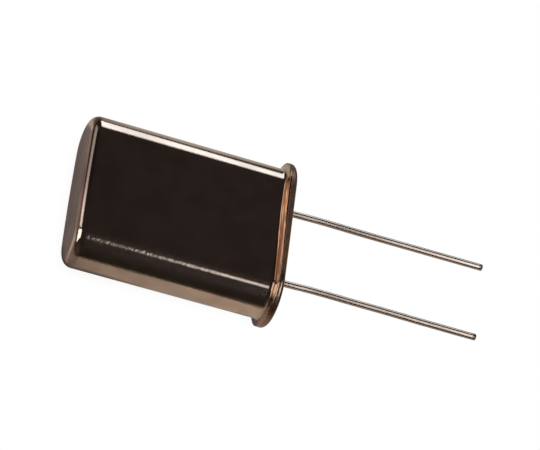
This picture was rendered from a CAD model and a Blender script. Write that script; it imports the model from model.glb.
"""Looks of a two-lead quartz crystal unit that lies on a broad face of its welded can.

+X runs along the leads, +Y across the can from lead to lead and +Z out of the upper
broad face. Blender works in metres. Sizes are written in millimetres times MM, and places
in a material and in a list of knots in plain millimetres.
"""

import math

import bmesh
import bpy
from mathutils import Matrix, Vector, noise
from mathutils.geometry import tessellate_polygon


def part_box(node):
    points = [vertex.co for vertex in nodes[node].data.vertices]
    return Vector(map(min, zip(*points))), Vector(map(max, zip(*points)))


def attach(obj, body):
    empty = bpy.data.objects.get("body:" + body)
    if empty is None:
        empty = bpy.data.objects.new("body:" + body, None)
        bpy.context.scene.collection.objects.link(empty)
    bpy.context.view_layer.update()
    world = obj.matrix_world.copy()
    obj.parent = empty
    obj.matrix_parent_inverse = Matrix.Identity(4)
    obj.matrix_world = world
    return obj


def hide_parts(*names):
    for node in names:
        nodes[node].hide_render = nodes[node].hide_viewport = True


MM = 0.001
BODY = "root"

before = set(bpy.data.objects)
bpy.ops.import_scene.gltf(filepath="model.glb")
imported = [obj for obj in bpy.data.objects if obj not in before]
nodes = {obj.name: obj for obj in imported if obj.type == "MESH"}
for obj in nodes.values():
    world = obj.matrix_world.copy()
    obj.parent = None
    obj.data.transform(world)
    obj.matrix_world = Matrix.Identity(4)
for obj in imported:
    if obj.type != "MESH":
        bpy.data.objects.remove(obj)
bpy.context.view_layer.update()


# ---- sizes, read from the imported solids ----

def ring_x(name, reach, pick):
    """The X at which a node's surface still reaches that far from Z = 0. Pick is min or max."""
    return pick(v.co.x for v in nodes[name].data.vertices if abs(v.co.z - reach) < 1e-3 * MM)


def reach_between(name, low, high):
    """How far a node reaches above Z = 0 between two places along X."""
    return max(v.co.z for v in nodes[name].data.vertices if low <= v.co.x <= high)


CAN_LOW, CAN_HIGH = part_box("can")
BASE_LOW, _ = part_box("base")
_, BEAD_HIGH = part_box("glass_bead_left")
LEAD_LOW, LEAD_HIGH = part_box("lead_left")

CAN_H = -CAN_LOW.x
FLANGE_OUT = CAN_HIGH.z
BASE_FLANGE_T = -CAN_HIGH.x
WALL_OUT = reach_between("can", CAN_LOW.x, CAN_LOW.x / 2)
RUN_HALF = CAN_HIGH.y - FLANGE_OUT
CROWN_R = ring_x("can", WALL_OUT, min) - CAN_LOW.x
BASE_H = -BASE_LOW.x
RECESS_D = -BEAD_HIGH.x
BEAD_R = BEAD_HIGH.z
LEAD_Y = (LEAD_LOW.y + LEAD_HIGH.y) / 2
LEAD_L = LEAD_HIGH.x
LEAD_R = reach_between("lead_left", LEAD_L / 2, LEAD_L)
HEAD_R = LEAD_HIGH.z

# Edges and hidden thicknesses of the same solids.
SHEET_T = 0.18 * MM
BEND_R = 0.25 * MM
RIM_T = 0.11 * MM
RIM_R = 0.05 * MM
SEAM_R = 0.02 * MM
SEAT_RIM_R = 0.22 * MM
PLUG_GAP = 0.08 * MM
PLUG_R = 0.2 * MM
RECESS_INSET = 0.3 * MM
RECESS_R = 0.08 * MM
RECESS_EDGE = 0.02 * MM
HEAD_T = 0.2 * MM
HEAD_CHAMFER = 0.03 * MM
UPSET = 0.03 * MM
TIP_CHAMFER = 0.06 * MM

# How close to its edges a flat gets its last points, so that smooth shading keeps it flat.
CROWN_SUPPORT = 0.02 * MM
WALL_SUPPORT = 0.03 * MM

# The can's flange slopes from the end of its bend down to its thin edge.
RIM_RUN = FLANGE_OUT - WALL_OUT - BEND_R
RIM_DROP = SHEET_T + BEND_R - RIM_T
RIM_SLOPE = math.atan2(RIM_DROP, RIM_RUN) - math.asin(BEND_R / math.hypot(RIM_RUN, RIM_DROP))
RIM_Z = BASE_FLANGE_T + RIM_T + RIM_R * (math.tan(RIM_SLOPE) - 1 / math.cos(RIM_SLOPE))

# The can's far end and the flange's lower edge both touch the floor, so it is tilted.
FLOOR_TOUCH_X = -RIM_Z
FLOOR_TILT = math.atan2(FLANGE_OUT - WALL_OUT, CAN_H - CROWN_R + FLOOR_TOUCH_X)


# ---- node trees ----

class Nodes:
    """Adds shader nodes and links them, so that a material reads like a formula."""

    def __init__(self, tree):
        self.tree = tree
        tree.nodes.clear()

    def add(self, kind, inputs=(), **settings):
        node = self.tree.nodes.new("ShaderNode" + kind)
        for name, value in settings.items():
            setattr(node, name, value)
        for name, value in dict(inputs).items():
            self.put(node.inputs[name], value)
        return node

    def put(self, socket, value):
        if isinstance(value, bpy.types.NodeSocket):
            self.tree.links.new(value, socket)
        else:
            socket.default_value = value

    def math(self, operation, *values):
        node = self.add("Math", operation=operation)
        for socket, value in zip(node.inputs, values):
            self.put(socket, value)
        return node.outputs[0]

    def product(self, first, *others):
        for value in others:
            first = self.math("MULTIPLY", first, value)
        return first

    def rest(self, share):
        """What is left of 1."""
        return self.math("SUBTRACT", 1.0, share)

    def smooth(self, value, start, end, low=0.0, high=1.0):
        """Low up to start, high from end on, and a smooth step between them."""
        inputs = {"Value": value, "From Min": start, "From Max": end, "To Min": low, "To Max": high}
        return self.add("MapRange", inputs, interpolation_type="SMOOTHSTEP").outputs[0]

    def band(self, value, limits):
        """Grows to 1 from the first to the second limit, fades from the third to the fourth."""
        start, full, fade, end = limits
        grown = self.smooth(value, start, full)
        return self.product(grown, self.smooth(value, fade, end, 1.0, 0.0))

    def mix(self, share, a, b):
        node = self.add("Mix", data_type="RGBA")
        for socket, value in zip((node.inputs[0], node.inputs[6], node.inputs[7]), (share, a, b)):
            self.put(socket, value)
        return node.outputs[2]

    def noise(self, place, size, detail=2.0, stretch=(1, 1, 1)):
        """Noise with features of that size, in the unit of place. Stretch makes them longer."""
        scale = tuple(1 / (size * s) for s in stretch)
        spread = self.add("VectorMath", operation="MULTIPLY")
        self.put(spread.inputs[0], place)
        self.put(spread.inputs[1], scale)
        inputs = {"Vector": spread.outputs[0], "Scale": 1.0, "Detail": detail}
        return self.add("TexNoise", inputs).outputs[0]

    def millimetres(self):
        """Place on the object, in millimetres."""
        place = self.add("VectorMath", operation="SCALE")
        self.put(place.inputs[0], self.add("TexCoord").outputs["Object"])
        place.inputs["Scale"].default_value = 1 / MM
        return place.outputs[0]

    def bump(self, height, depth, normal=None):
        """Depth is the height in metres of a height value of 1."""
        inputs = {"Height": height, "Strength": 1.0, "Distance": depth}
        if normal is not None:
            inputs["Normal"] = normal
        return self.add("Bump", inputs).outputs[0]

    def shader(self, kind, *values):
        """A shader whose inputs take these values in their order, shaders among them."""
        node = self.add(kind)
        for socket, value in zip(node.inputs, values):
            self.put(socket, value)
        return node.outputs[0]

    def output(self, kind, shader):
        self.put(self.add("Output" + kind).inputs["Surface"], shader)


def rgb(red, green, blue):
    return (red, green, blue, 1.0)


def new_material(name):
    material = bpy.data.materials.new(name)
    material.use_nodes = True
    return material, Nodes(material.node_tree)


def surface(n, **inputs):
    """A Principled surface with these inputs, where Base_Color stands for Base Color."""
    shader = n.add("BsdfPrincipled", {k.replace("_", " "): v for k, v in inputs.items()})
    n.output("Material", shader.outputs[0])


# ---- materials ----

NICKEL_SILVER = rgb(0.66, 0.55, 0.47)
NICKEL_DARK = rgb(0.56, 0.45, 0.38)
COPPER_TINT = rgb(0.92, 0.57, 0.33)
COPPER_RED = rgb(0.56, 0.25, 0.14)
BURNT_RED = rgb(0.38, 0.16, 0.09)
DEEP_BROWN = rgb(0.19, 0.085, 0.05)
SCORCHED = rgb(0.40, 0.25, 0.175)
SMOKED = rgb(0.29, 0.20, 0.145)
SOOTED = rgb(0.20, 0.135, 0.095)
TARNISHED = rgb(0.31, 0.24, 0.215)
OLD_GOLD = rgb(0.51, 0.36, 0.215)
PALE_GOLD = rgb(0.71, 0.57, 0.44)
DOME_METAL = rgb(0.56, 0.44, 0.35)

# Where the tints and the wear of the can and the base lie, in millimetres: along X, across Y
# and up Z, and as reach, the distance from the middle line of the oblong section. Two places
# are the ends of a smooth step. Four are a band, which grows from the first to the second
# and fades from the third to the fourth.
WELD_ALONG = (-0.82, -0.64)
SOOTED_ACROSS = (3.2, 4.4)
SOOTED_REACH = (2.14, 2.24)
REDDEST_ACROSS = (0.2, 1.8)
VALLEY_REACH = (1.88, 1.97, 2.08, 2.16)
RIDGE_REACH = (2.08, 2.16)
BEND_REACH = (1.85, 1.90, 2.06, 2.14)
BEND_ACROSS = (-2.4, 0.2)
GOLDEN_ACROSS = (-3.7, -3.2)
SCORCHED_ACROSS = (-4.7, -4.3)
SCORCHED_REACH = (1.92, 2.02)
SCORCHED_UP = (0.4, 1.0)
UNSCORCHED_REACH = (2.04, 2.12, 2.20, 2.27)
CROWN_ALONG = (-13.0, -12.8)
CROWN_ACROSS = (-2.2, 0.2, 3.3, 3.7)
CROWN_UP = (1.2, 1.4)
FOOT_ALONG = (-13.3, -13.2)
FOOT_UP = (-1.2, 1.0)
RUBBED_ACROSS = (-3.1, -2.5)
RUBBED_ALONG = (-9.0, -3.0)
CALM_ALONG = (-4.0, -1.6)
SMOKED_ACROSS = (-4.6, -4.2)
POLISHED_ACROSS = (-4.5, -4.1, -3.2, -2.6)


def weld_tint(n, along, across, up, reach):
    """The burnt colours of the can's flange. From +Y to -Y they are copper in fine streaks,
    red in the valley behind the bend and brown on the bend, then gold, then scorched."""
    around = n.add("CombineXYZ", {"X": along, "Y": across, "Z": reach}).outputs[0]
    streaks = n.noise(around, 0.10, detail=2.0, stretch=(1, 9, 1))
    burnt = n.mix(n.smooth(streaks, 0.44, 0.60), COPPER_RED, COPPER_TINT)
    reddest = n.smooth(across, *REDDEST_ACROSS, 0.9, 0.0)
    burnt = n.mix(n.product(n.band(reach, VALLEY_REACH), reddest), burnt, BURNT_RED)
    burnt = n.mix(n.product(n.smooth(reach, *RIDGE_REACH, 0.0, 0.6), reddest), burnt, NICKEL_DARK)
    golden = n.mix(n.smooth(streaks, 0.40, 0.54), OLD_GOLD, PALE_GOLD)
    burnt = n.mix(n.smooth(across, *GOLDEN_ACROSS), golden, burnt)
    deep = n.product(n.band(reach, BEND_REACH), n.smooth(across, *BEND_ACROSS, 0.75, 0.0))
    burnt = n.mix(deep, burnt, DEEP_BROWN)
    spared = n.product(n.band(reach, UNSCORCHED_REACH), n.smooth(up, *SCORCHED_UP, 1.0, 0.0), 0.85)
    scorch = n.product(n.smooth(reach, *SCORCHED_REACH), n.rest(spared))
    scorch = n.product(scorch, n.smooth(streaks, 0.40, 0.60, 1.0, 0.7))
    return n.mix(n.smooth(across, *SCORCHED_ACROSS), n.mix(scorch, NICKEL_DARK, SCORCHED), burnt)


def drawn_metal(name):
    """Bright nickel silver with draw lines along the can and a grain that is coarser where
    the -Y side is rubbed and calm by the flange. The closed end is tarnished, and the weld
    leaves heat tints that end in a scorched and a sooted stretch, both dull."""
    material, n = new_material(name)
    place = n.millimetres()
    along, across, up = n.add("SeparateXYZ", {"Vector": place}).outputs
    past_run = n.math("MAXIMUM", n.math("SUBTRACT", n.math("ABSOLUTE", across), RUN_HALF / MM), 0.0)
    reach = n.math("SQRT", n.math("MULTIPLY_ADD", past_run, past_run, n.product(up, up)))
    lines = n.noise(place, 0.05, detail=3.0, stretch=(60, 1, 1))
    cloud = n.noise(place, 1.6, detail=3.0)
    grain = n.noise(place, 0.13, detail=1.0, stretch=(1.3, 1, 1))
    specks = n.noise(place, 0.05, detail=1.0)

    weld = n.smooth(along, *WELD_ALONG)
    sooted = n.product(weld, n.smooth(across, *SOOTED_ACROSS))
    colour = n.mix(n.smooth(cloud, 0.35, 0.7), NICKEL_SILVER, NICKEL_DARK)
    colour = n.mix(weld, colour, weld_tint(n, along, across, up, reach))
    colour = n.mix(sooted, colour, n.mix(n.smooth(reach, *SOOTED_REACH), DOME_METAL, SOOTED))
    crown = n.product(n.smooth(up, *CROWN_UP), n.smooth(along, *CROWN_ALONG, 1.0, 0.0))
    crown = n.product(crown, n.band(across, CROWN_ACROSS))
    colour = n.mix(crown, colour, TARNISHED)
    foot = n.product(n.smooth(along, *FOOT_ALONG, 1.0, 0.0), n.smooth(up, *FOOT_UP, 0.55, 0.0))
    colour = n.mix(foot, colour, TARNISHED)

    scorched = n.product(weld, n.smooth(across, *SCORCHED_ACROSS, 1.0, 0.0))
    dull = n.math("MAXIMUM", scorched, sooted)
    worn = n.smooth(specks, 0.55, 0.75, 0.0, 0.10)
    worn = n.product(worn, n.smooth(along, *RUBBED_ALONG, 1.0, 0.3))
    rough = n.math("ADD", n.smooth(cloud, 0.3, 0.75, 0.055, 0.075), worn)
    rough = n.math("ADD", rough, n.product(dull, 0.2))

    rubbed = n.smooth(across, *RUBBED_ACROSS, 1.0, 0.0)
    rubbed = n.product(rubbed, n.smooth(along, *RUBBED_ALONG, 0.6, 0.1))
    depth = n.math("ADD", n.smooth(along, *CALM_ALONG, 0.4, 0.1), rubbed)
    normal = n.bump(n.product(grain, depth), 5e-6, n.bump(lines, 0.15e-6))
    surface(n, Base_Color=colour, Metallic=1.0, Roughness=rough, Normal=normal)
    return material


def coined_metal(name):
    """The base: the same alloy with a finer matt grain from the die, sooted at its +Y end,
    smoked at its -Y end and polished by the weld just before that."""
    material, n = new_material(name)
    place = n.millimetres()
    across = n.add("SeparateXYZ", {"Vector": place}).outputs["Y"]
    cloud = n.noise(place, 0.9, detail=3.0)
    grain = n.noise(place, 0.05, detail=3.0)
    colour = n.mix(n.smooth(cloud, 0.3, 0.7), COPPER_TINT, NICKEL_DARK)
    colour = n.mix(n.smooth(across, *SOOTED_ACROSS), colour, SOOTED)
    colour = n.mix(n.smooth(across, *SMOKED_ACROSS), SMOKED, colour)
    rough = n.smooth(grain, 0.3, 0.7, 0.30, 0.40)
    rough = n.math("SUBTRACT", rough, n.product(n.band(across, POLISHED_ACROSS), 0.22))
    rough = n.math("ADD", rough, n.smooth(across, *SOOTED_ACROSS, 0.0, 0.15))
    surface(n, Base_Color=colour, Metallic=1.0, Roughness=rough, Normal=n.bump(grain, 0.8e-6))
    return material


def wire_metal(name):
    """Plated wire, with the die's lines along it."""
    material, n = new_material(name)
    place = n.millimetres()
    lines = n.noise(place, 0.03, detail=3.0, stretch=(80, 1, 1))
    cloud = n.noise(place, 0.8, detail=3.0, stretch=(4, 1, 1))
    colour = n.mix(n.smooth(cloud, 0.3, 0.7), rgb(0.76, 0.65, 0.57), rgb(0.66, 0.55, 0.47))
    rough = n.smooth(cloud, 0.3, 0.7, 0.15, 0.20)
    surface(n, Base_Color=colour, Metallic=1.0, Roughness=rough, Normal=n.bump(lines, 0.5e-6))
    return material


def bead_glass(name):
    """Dark sealing glass with small bubbles under a fire-polished skin."""
    material, n = new_material(name)
    place = n.millimetres()
    cloud = n.noise(place, 0.4, detail=4.0)
    spots = n.noise(place, 0.06, detail=1.0)
    colour = n.mix(n.smooth(cloud, 0.35, 0.7), rgb(0.012, 0.022, 0.020), rgb(0.03, 0.045, 0.04))
    colour = n.mix(n.smooth(spots, 0.68, 0.8), colour, rgb(0.12, 0.15, 0.14))
    surface(n, Base_Color=colour, Roughness=0.12, IOR=1.52, Normal=n.bump(cloud, 4e-6))
    return material


def strip_metal(name):
    """Rolled spring strip."""
    material, n = new_material(name)
    place = n.millimetres()
    lines = n.noise(place, 0.04, detail=2.0, stretch=(1, 1, 40))
    colour = n.mix(n.smooth(lines, 0.35, 0.65), rgb(0.62, 0.60, 0.55), rgb(0.72, 0.70, 0.65))
    surface(n, Base_Color=colour, Metallic=1.0, Roughness=0.22, Normal=n.bump(lines, 0.5e-6))
    return material


def ground_quartz(name):
    """Clear quartz, lapped to a fine satin."""
    material, n = new_material(name)
    place = n.millimetres()
    grain = n.noise(place, 0.03, detail=3.0)
    rough = n.smooth(grain, 0.3, 0.7, 0.18, 0.3)
    colour = n.mix(grain, rgb(0.90, 0.93, 0.94), rgb(0.97, 0.98, 0.98))
    surface(n, Base_Color=colour, Roughness=rough, IOR=1.54, Transmission_Weight=0.9,
            Normal=n.bump(grain, 1e-6))
    return material


def silver_film(name):
    """Evaporated silver, a little cloudy."""
    material, n = new_material(name)
    cloud = n.noise(n.millimetres(), 0.7, detail=3.0)
    colour = n.mix(n.smooth(cloud, 0.3, 0.7), rgb(0.82, 0.81, 0.78), rgb(0.70, 0.68, 0.64))
    rough = n.smooth(cloud, 0.3, 0.7, 0.2, 0.32)
    surface(n, Base_Color=colour, Metallic=1.0, Roughness=rough)
    return material


def silver_glue(name):
    """Silver-filled adhesive: flakes in a dull binder."""
    material, n = new_material(name)
    flakes = n.noise(n.millimetres(), 0.03, detail=2.0)
    colour = n.mix(n.smooth(flakes, 0.4, 0.6), rgb(0.32, 0.31, 0.29), rgb(0.66, 0.65, 0.62))
    surface(n, Base_Color=colour, Metallic=0.6, Roughness=0.5, Normal=n.bump(flakes, 3e-6))
    return material


# ---- geometry ----

def arc(centre, radius, start, end, steps):
    """Points on an arc, angles in degrees from the first axis, both ends included."""
    points = []
    for i in range(steps + 1):
        angle = math.radians(start + (end - start) * i / steps)
        points.append((centre[0] + radius * math.cos(angle), centre[1] + radius * math.sin(angle)))
    return points


def line(start, end, steps, ends=0.0):
    """Points between two ends, both left out. With ends, one more point that far from each."""
    length = math.dist(start, end)
    shares = [i / steps for i in range(1, steps)]
    if ends > 0:
        shares = [ends / length] + shares + [1 - ends / length]
    return [tuple(a + (b - a) * share for a, b in zip(start, end)) for share in shares]


RUN_STEPS = 96
ARC_STEPS = 72


def oblong_stations():
    """Stations round the oblong plan, each the Y of a point on the middle line and then
    the Y and the Z of the normal there."""
    stations = []
    for side in (1, -1):
        for i in range(RUN_STEPS):
            stations.append((side * RUN_HALF * (2 * i / RUN_STEPS - 1), 0.0, side))
        for i in range(ARC_STEPS):
            turn = math.pi * i / ARC_STEPS
            stations.append((side * RUN_HALF, side * math.sin(turn), side * math.cos(turn)))
    return stations


def skin(bm, rings):
    """Closes the surface between each ring of vertices and the next."""
    for lower, upper in zip(rings, rings[1:]):
        for i in range(len(lower)):
            j = (i + 1) % len(lower)
            bm.faces.new((lower[i], lower[j], upper[j], upper[i]))
    return rings


def sweep(bm, profile):
    """Carries a profile of (offset, height) points round the oblong. Returns the rings."""
    stations = oblong_stations()
    rings = []
    for offset, height in profile:
        ring = []
        for y, ny, nz in stations:
            outer, higher = worked_point(offset, height, y, ny, nz)
            ring.append(bm.verts.new((-higher, y + outer * ny, outer * nz)))
        rings.append(ring)
    return skin(bm, rings)


# How pressing and welding leave the flange, as (Y, millimetres) knots from lead to lead:
# how far its upper face lies above the drawn one, how much its rim falls away again, how
# much higher it is at the bend than at the rim, and how deeply its middle is dished.
WELD_RISE = (
    (-5.1, 0.0), (-4.2, -0.02), (-2.8, -0.055), (0.0, -0.016), (2.6, 0.042), (4.2, -0.03),
    (5.1, -0.1),
)
WELD_SHOULDER = (
    (-4.2, 0.0), (-3.0, 0.045), (-0.8, 0.045), (0.3, 0.032), (1.6, 0.002), (4.0, 0.0),
)
BEND_RISE = (
    (-5.1, 0.0), (-4.4, -0.03), (-3.5, -0.03), (-2.6, -0.01), (-1.25, 0.0), (0.3, 0.03),
    (1.25, 0.04), (2.5, 0.025), (4.0, 0.0),
)
WELD_DISH = ((-4.0, 0.0), (-2.7, 0.04), (-1.0, 0.04), (0.2, 0.03), (1.5, 0.004), (4.0, 0.0))
SHOULDER_W = 0.11 * MM
# Ripples of the flange in millimetres, by their length round it, their length across it
# and their height. The rim's have one length both ways.
RIPPLES = ((1.3, 0.24, 0.014), (0.6, 0.14, 0.003))
RIM_RIPPLE = (0.9, 0.010)
SEED = 3.7
# The share of the rise that the base takes. The can takes the rest.
SEAM_SHARE = 0.5
END_BOW = 0.03 * MM


def between(value, start, end):
    """A smooth step from 0 at start to 1 at end."""
    share = min(max((value - start) / (end - start), 0.0), 1.0)
    return share * share * (3 - 2 * share)


def at_knots(knots, place):
    """A smooth line through (place, value) knots, level beyond the last ones."""
    for (start, low), (end, high) in zip(knots, knots[1:]):
        if place < end:
            return low + (high - low) * between(place, start, end)
    return knots[-1][1]


def worked_point(offset, height, y, ny, nz):
    """Where forming and welding leave a point of the can or the base: the closed end is
    bowed a little, and the flange of both is uneven, with the seam between them shut."""
    if height > CAN_H / 2:
        across = (y + offset * ny) / RUN_HALF
        closed_end = between(height, CAN_H - 4 * CROWN_R, CAN_H - CROWN_R)
        return offset, height - END_BOW * across * across * closed_end
    past_wall = offset - WALL_OUT
    if height > CAN_H / 4 or past_wall < -SHEET_T:
        return offset, height
    flange = FLANGE_OUT - WALL_OUT
    round_y = (y + FLANGE_OUT * ny) / MM
    round_z = FLANGE_OUT * nz / MM
    share = min(max((past_wall - BEND_R) / (flange - BEND_R), 0.0), 1.0)
    rise = at_knots(WELD_RISE, round_y) + at_knots(BEND_RISE, round_y) * (1 - share)
    rise -= at_knots(WELD_DISH, round_y) * math.sin(math.pi * share)
    on_shoulder = max(past_wall - flange + SHOULDER_W, 0.0)
    rise -= at_knots(WELD_SHOULDER, round_y) * on_shoulder ** 2 / SHOULDER_W ** 2
    for along, aside, depth in RIPPLES:
        place = Vector((round_y / along + SEED, round_z / along, past_wall / MM / aside))
        rise += depth * noise.noise(place)
    seam = between(height, 0.0, BASE_FLANGE_T) * SEAM_SHARE
    above = between(height, BASE_FLANGE_T, BASE_FLANGE_T + RIM_T) * (1 - SEAM_SHARE)
    rise *= between(past_wall, -SHEET_T / 2, SHEET_T) * (seam + above)
    along, depth = RIM_RIPPLE
    place = Vector((round_y / along, round_z / along, height / MM / along))
    out = depth * noise.noise(place) * between(past_wall, flange / 2, flange)
    return offset + out * MM, height + rise * MM


def revolve(bm, profile, centre_y, steps):
    """Turns a profile of (radius, X) points round an axis along X. Returns the rings."""
    rings = []
    for radius, x in profile:
        ring = []
        for i in range(steps):
            turn = 2 * math.pi * i / steps
            place = (x, centre_y + radius * math.cos(turn), radius * math.sin(turn))
            ring.append(bm.verts.new(place))
        rings.append(ring)
    return skin(bm, rings)


WELD_DISTANCE = 1e-5 * MM
SHARP_DEG = 35.0


def finish_mesh(bm, name):
    """Makes the object: seams welded, faces outwards, smooth up to the sharp angle."""
    bmesh.ops.remove_doubles(bm, verts=bm.verts, dist=WELD_DISTANCE)
    bmesh.ops.dissolve_degenerate(bm, edges=bm.edges, dist=WELD_DISTANCE)
    bmesh.ops.recalc_face_normals(bm, faces=bm.faces)
    mesh = bpy.data.meshes.new(name)
    bm.to_mesh(mesh)
    bm.free()
    mesh.shade_smooth()
    mesh.set_sharp_from_angle(angle=math.radians(SHARP_DEG))
    piece = bpy.data.objects.new(name, mesh)
    bpy.context.scene.collection.objects.link(piece)
    return piece


def stand_for(piece, node, material):
    """Hands a finished piece to the frame in place of one solid."""
    piece.data.materials.append(material)
    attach(piece, BODY)
    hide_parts(node)


# ---- can ----

def can_profile():
    """Section of the can, as (offset, height): outside from the closed end to the flange,
    then inside back again."""
    flange_top = BASE_FLANGE_T + SHEET_T
    bend = (WALL_OUT + BEND_R, flange_top + BEND_R)
    crown = (WALL_OUT - CROWN_R, CAN_H - CROWN_R)
    inner_top = CAN_H - SHEET_T
    points = [(0.0, CAN_H)]
    points += line((0.0, CAN_H), (crown[0], CAN_H), 6, CROWN_SUPPORT)
    points += arc(crown, CROWN_R, 90, 0, 16)
    points += line((WALL_OUT, crown[1]), (WALL_OUT, bend[1]), 44, WALL_SUPPORT)
    slope = math.degrees(RIM_SLOPE)
    points += arc(bend, BEND_R, 180, 270 - slope, 16)
    rim = (FLANGE_OUT - RIM_R, RIM_Z)
    rim_start = (rim[0] + RIM_R * math.sin(RIM_SLOPE), RIM_Z + RIM_R * math.cos(RIM_SLOPE))
    points += line(points[-1], rim_start, 12)
    points += arc(rim, RIM_R, 90 - slope, 0, 8)
    points += arc((FLANGE_OUT - SEAM_R, BASE_FLANGE_T + SEAM_R), SEAM_R, 0, -90, 6)
    points += line(points[-1], (bend[0], BASE_FLANGE_T), 6)
    points += arc(bend, BEND_R + SHEET_T, 270, 180, 12)
    points += arc((crown[0], inner_top - CROWN_R + SHEET_T), CROWN_R - SHEET_T, 0, 90, 8)
    points += [(0.0, inner_top)]
    return points


def make_can():
    bm = bmesh.new()
    sweep(bm, can_profile())
    return finish_mesh(bm, "drawn_can")


# ---- base ----

BEAD_STEPS = 64


def base_profile():
    """Section of the base from the recess's ceiling out round the flange to the plug's top."""
    plug_out = WALL_OUT - SHEET_T - PLUG_GAP
    recess_out = plug_out - RECESS_INSET
    points = arc((recess_out - RECESS_R, RECESS_D - RECESS_R), RECESS_R, 90, 0, 6)
    points += [(recess_out, RECESS_EDGE), (recess_out + RECESS_EDGE, 0.0)]
    points += arc((FLANGE_OUT - SEAT_RIM_R, SEAT_RIM_R), SEAT_RIM_R, -90, 0, 10)
    points += arc((FLANGE_OUT - SEAM_R, BASE_FLANGE_T - SEAM_R), SEAM_R, 0, 90, 6)
    points += line(points[-1], (WALL_OUT + BEND_R, BASE_FLANGE_T), 6)
    points += line((WALL_OUT + BEND_R, BASE_FLANGE_T), (plug_out, BASE_FLANGE_T), 8)
    points += [(plug_out, BASE_FLANGE_T)]
    points += arc((plug_out - PLUG_R, BASE_H - PLUG_R), PLUG_R, 0, 90, 6)
    return points


def plate_with_holes(bm, rim, hole_rings):
    """Fills the flat between an outer ring of vertices and the rings round its holes."""
    loops = [rim] + hole_rings
    flat = [v for loop in loops for v in loop]
    for triangle in tessellate_polygon([[v.co for v in loop] for loop in loops]):
        bm.faces.new([flat[i] for i in triangle])


def make_base():
    bm = bmesh.new()
    rings = sweep(bm, base_profile())
    bore = [(BEAD_R, -RECESS_D), (BEAD_R, -BASE_H)]
    holes = [revolve(bm, bore, side * LEAD_Y, BEAD_STEPS) for side in (1, -1)]
    plate_with_holes(bm, rings[0], [hole[0] for hole in holes])
    plate_with_holes(bm, rings[-1], [hole[1] for hole in holes])
    return finish_mesh(bm, "coined_base")


# ---- glass beads ----

# How far the glass climbs the wire, how fast that dies out towards its rim, and how deeply
# its face is dished.
FACE_STEPS = 16
CLIMB = 0.054 * MM
CLIMB_FADE = 9
DISH = 0.03 * MM


def make_bead(name, side):
    """Glass that wets the wire and the metal round it, so that its face is dished."""
    wire_r = LEAD_R + UPSET / 8
    face = []
    for i in range(FACE_STEPS + 1):
        share = i / FACE_STEPS
        lift = CLIMB * math.exp(-share * CLIMB_FADE) + DISH * share ** 6
        lift -= DISH * math.sin(math.pi * share)
        face.append((wire_r + (BEAD_R - wire_r) * share, -RECESS_D + lift))
    bm = bmesh.new()
    back = [(BEAD_R, -BASE_H), (wire_r + UPSET * 0.8, -BASE_H)]
    revolve(bm, face + back + [face[0]], side * LEAD_Y, BEAD_STEPS)
    return finish_mesh(bm, name)


# ---- leads ----

WIRE_STEPS = 48
ROUND_STEPS = 40


def lead_profile():
    """(radius, X) from the nail head inside to the sheared tip."""
    head_x = LEAD_LOW.x + HEAD_T
    rim_r = HEAD_R - HEAD_CHAMFER
    points = [(0.0, LEAD_LOW.x), (rim_r, LEAD_LOW.x), (HEAD_R, LEAD_LOW.x + HEAD_CHAMFER)]
    points += [(HEAD_R, head_x - HEAD_CHAMFER), (rim_r, head_x), (LEAD_R + UPSET, head_x)]
    points += [(LEAD_R, 0.0)]
    for i in range(1, WIRE_STEPS):
        points.append((LEAD_R, (LEAD_L - TIP_CHAMFER) * i / WIRE_STEPS))
    points += arc((LEAD_R - TIP_CHAMFER, LEAD_L - TIP_CHAMFER), TIP_CHAMFER, 0, 90, 5)
    points += [(LEAD_R * 0.5, LEAD_L), (0.0, LEAD_L)]
    return points


# How far each lead strays from straight, as (X, millimetres towards +Y) knots.
STRAY_START = 0.5
LEAD_STRAY = {
    1: ((STRAY_START, 0.0), (2.6, 0.03), (6.0, 0.0), (13.0, 0.0)),
    -1: ((STRAY_START, 0.0), (2.6, 0.045), (6.5, 0.02), (10.5, -0.025), (13.0, -0.04)),
}


def make_lead(name, side):
    bm = bmesh.new()
    revolve(bm, lead_profile(), side * LEAD_Y, ROUND_STEPS)
    for v in bm.verts:
        v.co.y += MM * at_knots(LEAD_STRAY[side], max(v.co.x / MM, STRAY_START))
    return finish_mesh(bm, name)


# ---- the pieces ----

stand_for(make_can(), "can", drawn_metal("nickel_silver_can"))
stand_for(make_base(), "base", coined_metal("nickel_silver_base"))
glass = bead_glass("seal_glass")
wire = wire_metal("lead_wire")
for side_name, side in (("left", 1), ("right", -1)):
    stand_for(make_bead("bead_" + side_name, side), "glass_bead_" + side_name, glass)
    stand_for(make_lead("wire_" + side_name, side), "lead_" + side_name, wire)

INNER = (
    (strip_metal("spring_strip"), "clip_left", "clip_right"),
    (ground_quartz("quartz_lapped"), "quartz_blank"),
    (silver_film("electrode_film"), "electrode_front", "electrode_back"),
    (silver_glue("silver_adhesive"), "bond_left", "bond_right"),
)
for material, *names in INNER:
    for name in names:
        nodes[name].data.materials.clear()
        nodes[name].data.materials.append(material)


# ---- stage ----

# The floors' radii are in metres.
FLOOR_CLEARANCE = 0.002 * MM
SEEN_FLOOR_R = 0.7
FELT_FLOOR_R = 0.15
BLACK = rgb(0.0, 0.0, 0.0)


def stage_plane(name, radius, material):
    """A round floor through the two places that the object rests on."""
    mesh = bpy.data.meshes.new(name)
    bm = bmesh.new()
    bmesh.ops.create_circle(bm, cap_ends=True, segments=96, radius=radius)
    bm.to_mesh(mesh)
    bm.free()
    mesh.materials.append(material)
    floor = bpy.data.objects.new(name, mesh)
    floor.rotation_euler = (0, FLOOR_TILT, 0)
    floor.location = (FLOOR_TOUCH_X, 0, -FLANGE_OUT - FLOOR_CLEARANCE)
    bpy.context.scene.collection.objects.link(floor)
    return floor


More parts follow.
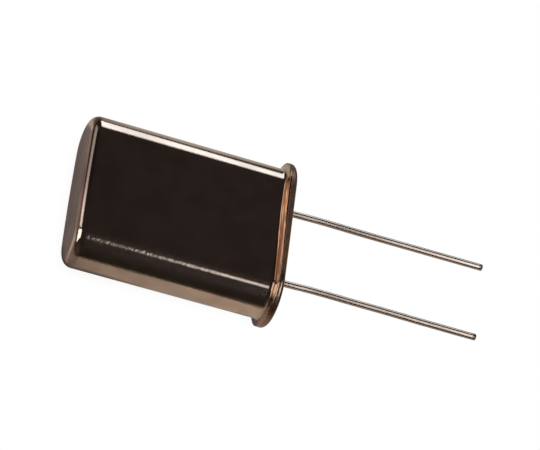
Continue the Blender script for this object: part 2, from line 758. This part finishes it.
def seen_floor_material():
    """What the camera sees: white, a little darker where the object shuts out the light,
    and clear from below."""
    material, n = new_material("floor_white")
    open_sky = n.add("AmbientOcclusion", {"Distance": 1.0 * MM}, samples=8).outputs["AO"]
    white = n.mix(n.smooth(open_sky, 0.1, 0.8), rgb(0.93, 0.92, 0.91), rgb(1.0, 1.0, 1.0))
    from_below = n.add("NewGeometry").outputs["Backfacing"]
    glow = n.shader("Emission", white)
    n.output("Material", n.shader("MixShader", from_below, glow, n.shader("BsdfTransparent")))
    return material


# Where the felt floor is lit and shaded, in millimetres along X, across Y and away from
# the origin.
LIT_AWAY = (8.0, 42.0)
CORNER_ALONG = (-13.5, -7.5)
CORNER_ACROSS = (6.0, 10.0)
BELOW_ACROSS = (-6.0, -3.5)
BELOW_CROWN = (-14.0, -8.0)
BELOW_FLANGE = (-4.5, -1.0)
SHADE_ACROSS = (-6.2, -5.0, -3.6, -2.8)
SHADE_START = (-13.35, -12.9)
SHADE_ALONG = (-10.0, -6.0)
LEADS_ALONG = (1.5, 3.0)
BEYOND_CROWN = (-15.0, -12.5)
STRIPE_Y = 0.8
STRIPE_HALF = (1.6, 4.0)
COOL_ACROSS = (4.5, 8.0)
COOL_ALONG = (-14.0, -12.0)

FELT = rgb(0.585, 0.485, 0.38)
FELT_BEYOND = rgb(0.85, 0.68, 0.59)
FELT_STRIPE = rgb(0.43, 0.325, 0.28)
BOUNCE = rgb(0.074, 0.073, 0.085)
BOUNCE_COOL = rgb(0.09, 0.13, 0.15)


def felt_floor_material():
    """What the metal mirrors: a warm table, paler beyond the can's closed end but for a
    darker stripe there, with some light of its own for what comes back from the tent,
    cooler along the +Y side. All of it is brightest close to the object and dark beyond
    the far +Y corner. Along the -Y side it is darkest at the closed end and lightest at
    the flange, with a shade close to the can. It is darker under the leads."""
    material, n = new_material("floor_warm")
    place = n.millimetres()
    away = n.add("VectorMath", operation="LENGTH")
    n.put(away.inputs[0], place)
    along, across, _ = n.add("SeparateXYZ", {"Vector": place}).outputs

    corner = n.product(n.smooth(along, *CORNER_ALONG, 1.0, 0.0), n.smooth(across, *CORNER_ACROSS))
    below = n.smooth(across, *BELOW_ACROSS, 1.0, 0.0)
    at_crown = n.product(below, n.smooth(along, *BELOW_CROWN, 0.47, 0.0))
    at_flange = n.product(below, n.smooth(along, *BELOW_FLANGE, -0.13, 0.12))
    shade = n.product(n.band(across, SHADE_ACROSS), n.smooth(along, *SHADE_START))
    shade = n.product(shade, n.smooth(along, *SHADE_ALONG, 0.6, 0.1))
    lit = n.smooth(away.outputs["Value"], *LIT_AWAY, 1.0, 0.15)
    lit = n.product(lit, n.rest(n.product(corner, 0.8)))
    lit = n.product(lit, n.math("SUBTRACT", n.math("ADD", 1.0, at_flange), at_crown))
    lit = n.product(lit, n.rest(shade), n.smooth(along, *LEADS_ALONG, 1.0, 0.65))

    off_stripe = n.math("ABSOLUTE", n.math("SUBTRACT", across, STRIPE_Y))
    beyond = n.mix(n.smooth(off_stripe, *STRIPE_HALF), FELT_STRIPE, FELT_BEYOND)
    table = n.mix(n.smooth(along, *BEYOND_CROWN), beyond, FELT)
    cool = n.product(n.smooth(across, *COOL_ACROSS), n.smooth(along, *COOL_ALONG))
    bounce = n.mix(cool, BOUNCE, BOUNCE_COOL)
    diffuse = n.shader("BsdfDiffuse", n.mix(lit, BLACK, table))
    glow = n.shader("Emission", n.mix(lit, BLACK, bounce))
    n.output("Material", n.shader("AddShader", diffuse, glow))
    return material


seen = stage_plane("floor_seen", SEEN_FLOOR_R, seen_floor_material())
seen.visible_glossy = False
seen.visible_diffuse = False
seen.visible_transmission = False
seen.visible_shadow = False
felt = stage_plane("floor_felt", FELT_FLOOR_R, felt_floor_material())
felt.visible_camera = False
felt.visible_shadow = False

# Soft boxes that the metal mirrors. Azimuth 0 is +X and 90 is +Y, in degrees from the
# object. Each band has four limits: the light grows from the first to the second and fades
# from the third to the fourth. Lean is how far the two lower limits of elevation rise for
# each degree of azimuth below LEAN_FROM. Later boxes lie over earlier ones.
LEAN_FROM = 77.2
SOFT_BOXES = (
    # azimuths, elevations, lean, colour
    ((58, 66, 88, 96), (-4, 4, 25, 34), 1.9, (1.57, 1.71, 1.82)),
    ((131, 141, 157, 161), (-5, -1, 8, 16), 0.0, (0.42, 0.28, 0.22)),
    ((195, 225, 240, 284), (-4, 2, 14, 44), 0.0, (0.075, 0.050, 0.037)),
    ((120, 132, 146, 152), (-3, 5, 26, 36), 0.0, (0.40, 0.36, 0.35)),
    ((131, 141, 148, 152), (4, 12, 30, 38), 0.0, (0.85, 0.80, 0.78)),
    ((146, 153, 154, 157), (8, 16, 30, 38), 0.0, (1.4, 1.37, 1.33)),
    ((160, 165, 195, 200), (4, 14, 42, 52), 0.0, (2.2, 2.15, 2.1)),
)
# Long lamps over the can, as bands of the angle from +Z towards +Y in degrees and of the
# direction's share towards +X: a dim halo, the lamp with a brighter part inside it, and
# the one that the leads mirror. Later ones lie over earlier ones.
LAMP_ANGLES = (-19.5, -15, -11, -6.5)
LAMP_WHITE = (1.0, 0.985, 0.99)
LONG_LAMPS = (
    # angles, shares, strength, colour
    ((-29, -16, -10, 6), (0.10, 0.20, 0.36, 0.42), 1.0, (0.052, 0.046, 0.040)),
    (LAMP_ANGLES, (0.220, 0.256, 0.272, 0.300), 0.42, LAMP_WHITE),
    (LAMP_ANGLES, (0.245, 0.263, 0.272, 0.300), 1.15, LAMP_WHITE),
    ((-62, -48, 0, 16), (0.304, 0.318, 0.36, 0.42), 2.0, LAMP_WHITE),
)
# The dim inside of the tent between them. Heights are elevations in degrees, and the last
# two pairs are shares towards +X: where it is no longer dimmed and where it glows ahead.
SKY_HIGH = (0.0310, 0.0250, 0.0240)
SKY_LOW = (0.0250, 0.0215, 0.0165)
SKY_BELOW = (0.15, 0.115, 0.085)
SKY_AHEAD = (0.06, 0.045, 0.036)
SKY_HEIGHTS = (5.0, 50.0)
HORIZON_HEIGHTS = (-3.0, 1.0)
UNDIMMED_SHARES = (0.20, 0.26)
DIMMED = 0.15
AHEAD_SHARES = (0.42, 0.58)


def studio_sky():
    world = bpy.data.worlds.new("studio")
    bpy.context.scene.world = world
    world.use_nodes = True
    n = Nodes(world.node_tree)
    toward = n.add("SeparateXYZ", {"Vector": n.add("TexCoord").outputs["Generated"]})
    x, y, z = toward.outputs
    to_degrees = 180 / math.pi
    azimuth = n.product(n.math("ARCTAN2", y, x), to_degrees)
    azimuth = n.math("MODULO", n.math("ADD", azimuth, 360.0), 360.0)
    elevation = n.product(n.math("ARCSINE", z), to_degrees)
    tilt = n.product(n.math("ARCTAN2", y, z), to_degrees)

    light = n.mix(n.smooth(elevation, *SKY_HEIGHTS), rgb(*SKY_LOW), rgb(*SKY_HIGH))
    light = n.mix(n.smooth(x, *UNDIMMED_SHARES), n.mix(DIMMED, light, BLACK), light)
    light = n.mix(n.smooth(elevation, *HORIZON_HEIGHTS), rgb(*SKY_BELOW), light)
    light = n.mix(n.smooth(x, *AHEAD_SHARES), light, rgb(*SKY_AHEAD))
    for azimuths, elevations, lean, colour in SOFT_BOXES:
        rise = n.product(n.math("SUBTRACT", LEAN_FROM, azimuth), lean)
        above = n.smooth(n.math("SUBTRACT", elevation, rise), *elevations[:2])
        share = n.product(n.band(azimuth, azimuths), above)
        share = n.product(share, n.smooth(elevation, *elevations[2:], 1.0, 0.0))
        light = n.mix(share, light, rgb(*colour))
    for angles, shares, strength, colour in LONG_LAMPS:
        share = n.product(n.band(tilt, angles), n.band(x, shares))
        light = n.mix(share, light, rgb(*(c * strength for c in colour)))

    to_camera = n.add("LightPath").outputs["Is Camera Ray"]
    mirrored = n.shader("Background", light)
    white = n.shader("Background", rgb(1.0, 1.0, 1.0))
    n.output("World", n.shader("MixShader", to_camera, mirrored, white))


def lamp(name, toward, distance, size, watts, colour):
    """An area lamp in that direction from the can, facing it. Size is along X, then across."""
    data = bpy.data.lights.new(name, "AREA")
    data.shape = "RECTANGLE"
    data.size, data.size_y = size
    data.energy = watts
    data.color = colour
    back = Vector(toward).normalized()
    across = back.cross(Vector((1, 0, 0))).normalized()
    along = across.cross(back)
    light = bpy.data.objects.new(name, data)
    light.matrix_world = Matrix((along, across, back)).transposed().to_4x4()
    light.location = Vector((-CAN_H / 2, 0, 0)) + back * distance
    bpy.context.scene.collection.objects.link(light)
    return light


studio_sky()
floor_lamp = lamp("floor_lamp", toward=(0.40, -0.20, 0.89), distance=0.30, size=(0.05, 0.05),
                  watts=0.5, colour=(1.0, 0.97, 0.93))
floor_lamp.visible_glossy = False


# ---- camera ----

IMAGE_W, IMAGE_H = 540, 450
FOCAL_PX = 3106.8
ORIGIN_PX = (278.40, 245.87)
VIEW_AZIMUTH = -31.678
VIEW_ELEVATION = 58.013
VIEW_ROLL = 43.319
VIEW_DISTANCE = 0.1929


def make_camera():
    """Looks at the frame's origin from that direction and distance, and then turns a
    little, so that the origin lands on its own pixel and not on the picture's centre."""
    azimuth, elevation = math.radians(VIEW_AZIMUTH), math.radians(VIEW_ELEVATION)
    back = Vector((
        math.sin(azimuth) * math.cos(elevation),
        -math.cos(azimuth) * math.cos(elevation),
        math.sin(elevation),
    ))
    right = Vector((0, 0, 1)).cross(back).normalized()
    right.rotate(Matrix.Rotation(math.radians(VIEW_ROLL), 3, back))
    up = back.cross(right)
    place = back * VIEW_DISTANCE
    aside = (ORIGIN_PX[0] - IMAGE_W / 2) / FOCAL_PX
    below = (ORIGIN_PX[1] - IMAGE_H / 2) / FOCAL_PX
    back = (back + right * aside - up * below).normalized()
    right = (right - back * right.dot(back)).normalized()
    up = back.cross(right)
    data = bpy.data.cameras.new("camera")
    data.sensor_fit = "HORIZONTAL"
    data.sensor_width = 36.0
    data.lens = data.sensor_width * FOCAL_PX / IMAGE_W
    data.clip_start = 0.01
    camera = bpy.data.objects.new("camera", data)
    camera.matrix_world = Matrix((right, up, back)).transposed().to_4x4()
    camera.location = place
    bpy.context.scene.collection.objects.link(camera)
    bpy.context.scene.camera = camera


make_camera()
bpy.context.scene.view_settings.view_transform = "Standard"
